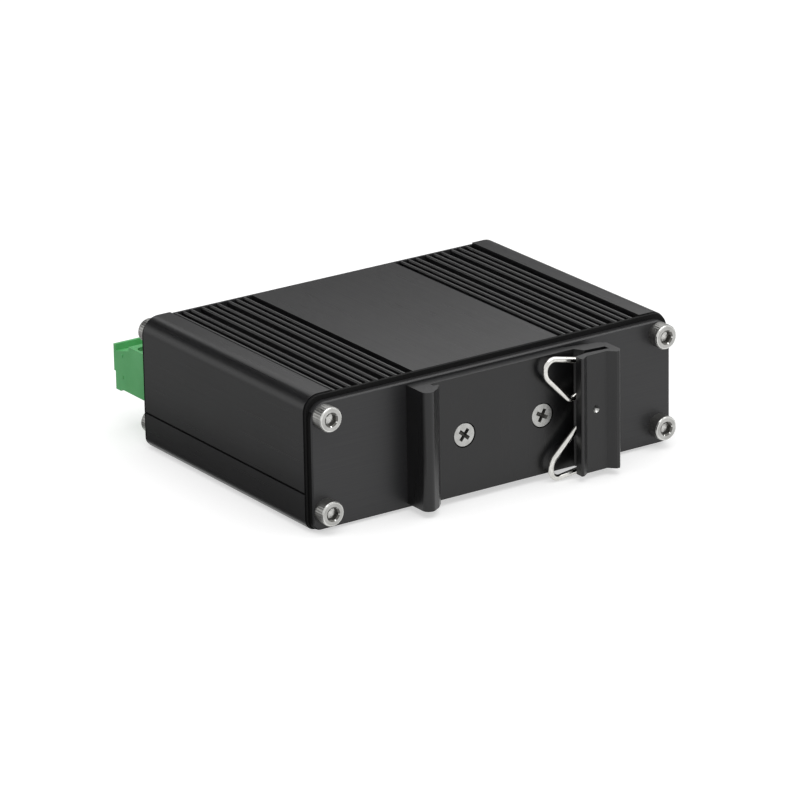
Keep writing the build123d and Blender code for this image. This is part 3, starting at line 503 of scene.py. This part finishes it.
def socketScrewMesh(spec):
    # one screw along +Z with the underside of its head at zero, closed from the socket's point to its tip
    mesh = bmesh.new()
    bmesh.ops.create_circle(mesh, segments=screwFinish["steps"], radius=spec["headRadius"])
    base = list(mesh.edges)

    def knurl(angle):
        tooth = round(angle / (2 * math.pi / screwFinish["steps"])) % 2
        return spec["headRadius"] - spec["toothDepth"] * tooth

    for vert in mesh.verts:
        angle = math.atan2(vert.co.y, vert.co.x)
        vert.co = Vector((knurl(angle) * math.cos(angle), knurl(angle) * math.sin(angle), 0))
    top, bevel, step = spec["headHeight"], spec["bevel"], spec["step"]
    crown = spec["headRadius"] - spec["toothDepth"]
    bevelIn, bevelDown = spec["bevelMiddle"]
    mouth = hexagon(spec["flats"])
    corners = spec["flats"] / 2 / math.cos(math.pi / 6)
    bottom = top - spec["socketDepth"]
    turnOn(mesh, base, [
        (knurl, top - bevel),
        (crown - step, top - bevel + step),
        (crown - bevel * bevelIn, top - bevel * bevelDown),
        (crown - bevel, top),
        (corners + spec["socketMouth"], top),
        (mouth, top - spec["socketMouth"] * spec["mouthSlope"]),
        (mouth, bottom),
        (spec["flats"] * spec["drillShare"], bottom - step),
        (spec["drillPoint"], bottom - spec["drillDepth"]),
    ])
    turnOn(mesh, base, [(spec["shank"], 0)] + threadFrom(spec, 0))
    # painted shade: socket walls darkest, side and face partly, the cone a little
    paintedShade = mesh.faces.layers.float.new("paintedShade")
    for face in mesh.faces:
        face[paintedShade] = shadeAt(spec, face.calc_center_median())
    return mesh


def socketScrews(node, side):
    # side is -1 for the rear panel and +1 for the front panel; the heads stand out along it
    low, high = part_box(node)
    radius = socketScrew["headRadius"] * mm
    length = socketScrew["length"] * mm
    seat = high.y - length if side < 0 else low.y + length
    upright = Matrix.Rotation(-side * math.pi / 2, 4, "X")
    turn = socketScrew["firstTurn"]
    group = bmesh.new()
    for x in (low.x + radius, high.x - radius):
        for z in (low.z + radius, high.z - radius):
            place = Matrix.Translation((x, seat, z)) @ upright @ Matrix.Rotation(turn, 4, "Z")
            joinInto(group, socketScrewMesh(socketScrew), place)
            turn += socketScrew["nextTurn"]
    smoothShade(group, screwFinish["smoothUnder"])
    addPiece(group, node + "_knurled", node)


socketScrews("rear_panel_screws", -1)
socketScrews("front_panel_screws", 1)
print("socket screws made")

# Countersunk cross-recess screw, M3, that holds the clip. Millimetres; the turns, one for each screw, are in
# degrees.
crossScrew = {"headRadius": 2.6, "bevel": 0.06, "rim": 0.25, "headHeight": 1.65, "armWidth": 0.86,
              "armSpan": 3.1, "bottomWidth": 0.5, "bottomSpan": 1.7, "crossDepth": 1.1, "shadeBand": 0.1,
              "shank": 1.48, "root": 1.2, "pitch": 0.5, "tip": 0.1, "length": 8.0, "turns": (-40.0, -29.0)}


def crossOutline(width, span):
    def radiusAt(angle):
        fold = angle % (math.pi / 2)
        fold = min(fold, math.pi / 2 - fold)
        return min(span / 2 / math.cos(fold), width / 2 / max(math.sin(fold), 0.01))
    return radiusAt


def crossScrewMesh(spec):
    # one screw along +Z with the top of its head at zero, closed from the recess's bottom to its tip
    mesh = bmesh.new()
    bmesh.ops.create_circle(mesh, segments=screwFinish["steps"], radius=spec["headRadius"])
    base = list(mesh.edges)
    for vert in mesh.verts:
        vert.co.z = -spec["bevel"]
    turnOn(mesh, base, [
        (spec["headRadius"] - spec["bevel"], 0),
        (crossOutline(spec["armWidth"], spec["armSpan"]), 0),
        (crossOutline(spec["bottomWidth"], spec["bottomSpan"]), -spec["crossDepth"]),
    ])
    head = [(spec["headRadius"], -spec["rim"]), (spec["shank"], -spec["headHeight"])]
    turnOn(mesh, base, head + threadFrom(spec, spec["headHeight"]))
    # painted shade in the cross recess
    paintedShade = mesh.faces.layers.float.new("paintedShade")
    band = spec["shadeBand"]
    for face in mesh.faces:
        spot = face.calc_center_median()
        inside = math.hypot(spot.x, spot.y) < spec["armSpan"] / 2
        face[paintedShade] = 1 if inside and -spec["crossDepth"] - band < spot.z < -band else 0
    return mesh


def crossScrews(node):
    low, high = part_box(node)
    radius = (high.z - low.z) / 2
    upright = Matrix.Rotation(math.pi / 2, 4, "X")
    group = bmesh.new()
    for x, turn in zip((low.x + radius, high.x - radius), crossScrew["turns"]):
        spin = Matrix.Rotation(math.radians(turn), 4, "Z")
        place = Matrix.Translation((x, low.y, (low.z + high.z) / 2)) @ upright @ spin
        joinInto(group, crossScrewMesh(crossScrew), place)
    smoothShade(group, screwFinish["smoothUnder"])
    addPiece(group, node + "_recessed", node)


crossScrews("clip_screws")
print("clip screws made")

# Camera, at the photograph's angle: degrees, millimetres for the lens and its sensor, and metres
camera = {"azimuth": -34.02, "elevation": 19.78, "roll": -0.96, "lens": 250.65, "sensor": 36.0,
          "place": (-0.63870, -0.94708, 0.42004), "clipEnd": 20}


def makeCamera():
    azimuth, elevation, roll = (math.radians(camera[key]) for key in ("azimuth", "elevation", "roll"))
    right = Vector((math.cos(azimuth), math.sin(azimuth), 0))
    back = Vector((math.sin(azimuth) * math.cos(elevation), -math.cos(azimuth) * math.cos(elevation),
                   math.sin(elevation)))
    up = back.cross(right)
    rolledRight = math.cos(roll) * right + math.sin(roll) * up
    rolledUp = math.cos(roll) * up - math.sin(roll) * right
    data = bpy.data.cameras.new("camera")
    data.lens = camera["lens"]
    data.sensor_width = camera["sensor"]
    data.clip_end = camera["clipEnd"]
    item = putInScene("camera", data)
    turned = Matrix((rolledRight, rolledUp, back)).transposed().to_4x4()
    item.matrix_world = Matrix.Translation(camera["place"]) @ turned
    bpy.context.scene.camera = item


# Floor, in metres: plain and pale. It is lit a little below white, and a glow that only the camera and
# mirror-like rays see brings the open floor to white, so that the shadow stays.
floor = {"size": 6.0, "below": 0.0001, "colour": "#cfcfcf", "glow": 0.54}


def clearedTree(holder):
    # the empty node tree of a material or world
    holder.use_nodes = True
    holder.node_tree.nodes.clear()
    return holder.node_tree


def seenDirectly(tree):
    # 1 for what the camera sees, straight, by a mirror-like reflection or through glass
    paths = add(tree, "LightPath").outputs
    total = add(tree, "Math", {"operation": "ADD"}, {0: paths["Is Camera Ray"], 1: paths["Is Glossy Ray"]})
    return add(tree, "Math", {"operation": "ADD", "use_clamp": True},
               {0: total.outputs[0], 1: paths["Is Transmission Ray"]}).outputs[0]


def makeFloor():
    mesh = bmesh.new()
    bmesh.ops.create_grid(mesh, x_segments=1, y_segments=1, size=floor["size"] / 2)
    bmesh.ops.translate(mesh, vec=(0, 0, -floor["below"]), verts=mesh.verts)
    item = putInScene("floor", asData("floor", mesh))
    material = bpy.data.materials.new("paintedStudioFloor")
    tree = clearedTree(material)
    paint = add(tree, "BsdfDiffuse", None, {"Color": linear(floor["colour"])})
    strength = add(tree, "Math", {"operation": "MULTIPLY"}, {0: seenDirectly(tree), 1: floor["glow"]})
    glow = add(tree, "Emission", None, {"Strength": strength.outputs[0]})
    both = add(tree, "AddShader", None, {0: paint.outputs[0], 1: glow.outputs[0]})
    add(tree, "OutputMaterial", None, {"Surface": both.outputs[0]})
    item.data.materials.append(material)


# Light: one large soft box above, and an even dim surround. Boards that only reflections see give the black
# metal its darker parts: black cloth far behind at the left for the rounded edge, a grey one close behind for
# the top's far end, and two flat on the floor for the left side and its foot. A small bright card above at
# the right, also seen only by reflections, draws the thin light lines along the front's upper edges. Metres.
light = {"surround": 0.6, "boxes": [
    {"name": "overheadBox", "place": (0.05, -0.2, 1.3), "size": 1.6, "power": 10.0},
], "boards": [
    {"name": "leftFlag", "corners": ((-0.32, 0.30, 0.145), (0.0, 0.42, 0.175)), "rise": (0, 0, 0.36),
     "material": "blackVelvet", "shade": "#060606"},
    {"name": "backFlag", "corners": ((0.0, 0.13, 0.0), (0.40, 0.13, 0.0)), "rise": (0, 0, 0.098),
     "material": "greyMountBoard", "shade": "#b0b0b0"},
    {"name": "sideFlag", "corners": ((-0.287, -0.06, 0.001), (-0.287, 0.37, 0.001)), "rise": (0.24, 0, 0),
     "material": "paleMountBoard", "shade": "#bcbcbc"},
    {"name": "footFlag", "corners": ((-0.061, -0.06, 0.002), (-0.061, 0.12, 0.002)), "rise": (0.014, 0, 0),
     "material": "darkMountBoard", "shade": "#909090"},
    {"name": "edgeCard", "corners": ((0.25, -0.30, 0.85), (0.65, -0.05, 0.85)), "rise": (0.19, -0.3, -0.13),
     "material": "backlitCard", "glow": 6.0},
]}


def makeBoard(board):
    start, end = (Vector(corner) for corner in board["corners"])
    rise = Vector(board["rise"])
    mesh = bmesh.new()
    mesh.faces.new([mesh.verts.new(spot) for spot in (start, end, end + rise, start + rise)])
    item = putInScene(board["name"], asData(board["name"], mesh))
    material = bpy.data.materials.new(board["material"])
    tree = clearedTree(material)
    if "glow" in board:
        surface = add(tree, "Emission", None, {"Strength": board["glow"]})
    else:
        surface = add(tree, "BsdfDiffuse", None, {"Color": linear(board["shade"])})
    add(tree, "OutputMaterial", None, {"Surface": surface.outputs[0]})
    item.data.materials.append(material)
    item.visible_camera = False
    item.visible_diffuse = False
    item.visible_shadow = False
    item.visible_transmission = False


def makeLight():
    for board in light["boards"]:
        makeBoard(board)
    for box in light["boxes"]:
        data = bpy.data.lights.new(box["name"], "AREA")
        data.shape = "SQUARE"
        data.size = box["size"]
        data.energy = box["power"]
        item = putInScene(box["name"], data)
        item.location = box["place"]
        item.rotation_euler = Vector(box["place"]).to_track_quat("Z", "Y").to_euler()
    world = bpy.data.worlds.new("surround")
    bpy.context.scene.world = world
    tree = clearedTree(world)
    seen = seenDirectly(tree)
    strength = add(tree, "MapRange", None, {"Value": seen, "To Min": light["surround"], "To Max": 1.0})
    sky = add(tree, "Background", None, {"Color": (1, 1, 1, 1), "Strength": strength.outputs[0]})
    add(tree, "OutputWorld", None, {"Surface": sky.outputs[0]})


makeCamera()
makeFloor()
makeLight()
bpy.context.scene.view_settings.view_transform = "Standard"
print("camera, floor and light set")
